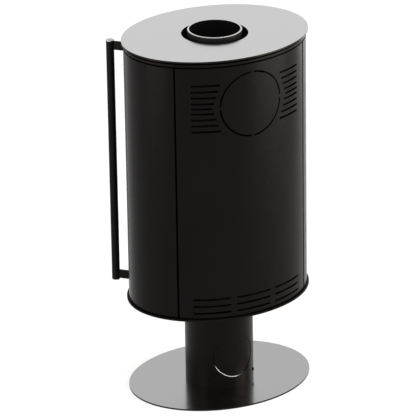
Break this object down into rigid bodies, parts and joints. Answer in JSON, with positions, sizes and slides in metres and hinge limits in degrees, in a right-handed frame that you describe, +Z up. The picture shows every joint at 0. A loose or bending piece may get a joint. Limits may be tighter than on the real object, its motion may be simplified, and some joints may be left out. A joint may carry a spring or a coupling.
{
  "type": "wood burning stove",
  "caption": "Oval free-standing wood burning stove on a round pedestal and oval base plate, with a full-height door, long vertical handle, louvred rear panel and top flue collar.",
  "frame": {"origin": "centre of the underside of the base plate", "axes": "+Z up, the door faces -Y, the long axis of the oval is X and the handle is on the +X side"},
  "size_m": [0.565, 0.449, 1.1076],
  "materials": {
    "body_paint": "satin black stove paint",
    "frame_paint": "matt black stove paint",
    "plate_steel": "satin steel",
    "iron": "cast, painted black",
    "firebrick": "pressed vermiculite",
    "zinc": "zinc plated",
    "sheet_steel": "bare sheet",
    "glass": "clear heat resistant",
    "rope": "woven glass rope",
    "handle_metal": "satin black",
    "base_steel": "satin steel, darker",
    "cap_metal": "satin steel"
  },
  "bodies": {
    "stove_body": {"base_plate": "base_steel", "pedestal_tube": "body_paint", "pedestal_air_cover": "body_paint", "pedestal_set_screws": "handle_metal", "pedestal_base_ring": "frame_paint", "pedestal_top_ring": "frame_paint", "pedestal_top_bolts": "zinc", "air_spigot": "frame_paint", "bottom_plate": "body_paint", "corner_posts": "frame_paint", "top_frame": "body_paint", "top_plate_spacers": "frame_paint", "top_frame_screws": "frame_paint", "top_plate": "plate_steel", "rear_panel": "body_paint", "left_side_panel": "body_paint", "right_side_panel": "body_paint", "flue_collar": "iron", "collar_bolts": "frame_paint", "firebox_floor": "frame_paint", "firebox_roof": "frame_paint", "firebox_sides": "frame_paint", "firebox_back": "frame_paint", "firebox_hearth": "frame_paint", "firebox_front": "frame_paint", "firebox_supports": "frame_paint", "rear_flue_blank": "frame_paint", "rear_blank_bolts": "frame_paint", "back_liner": "firebrick", "left_liner": "firebrick", "right_liner": "firebrick", "floor_liner": "firebrick", "baffle": "firebrick", "grate": "iron", "log_retainer": "frame_paint", "ash_pan": "sheet_steel", "air_box": "frame_paint", "primary_air_tube": "frame_paint", "airwash_ducts": "frame_paint", "heat_shield": "frame_paint", "hinge_pins": "frame_paint", "catch_bracket": "frame_paint"},
    "door": {"door_skin": "body_paint", "door_frame": "frame_paint", "door_gasket": "rope", "door_glass": "glass", "glass_gasket": "rope", "glass_clips": "sheet_steel", "hinge_blocks": "frame_paint", "handle_rod": "handle_metal", "handle_brackets": "handle_metal", "handle_caps": "cap_metal", "catch_tongue": "frame_paint"},
    "air_valve": {"air_pivot_pin": "zinc", "air_lever": "handle_metal", "air_knob": "handle_metal", "air_shutter": "sheet_steel"},
    "catch_roller": {"catch_roller": "zinc"}
  },
  "joints": [
    {"name": "door_hinge", "type": "hinge", "parent": "stove_body", "child": "door", "pos_m": [-0.20715, -0.13526, 0.684], "axis": [0, 0, -1], "range_deg": [0, 110]},
    {"name": "air_lever_turn", "type": "hinge", "parent": "stove_body", "child": "air_valve", "pos_m": [0, -0.126, 0.29], "axis": [0, 0, 1], "range_deg": [-28, 28]},
    {"name": "catch_roller_spin", "type": "hinge", "parent": "stove_body", "child": "catch_roller", "pos_m": [0.18896, -0.14394, 0.44], "axis": [0, 0, 1], "continuous": true}
  ]
}
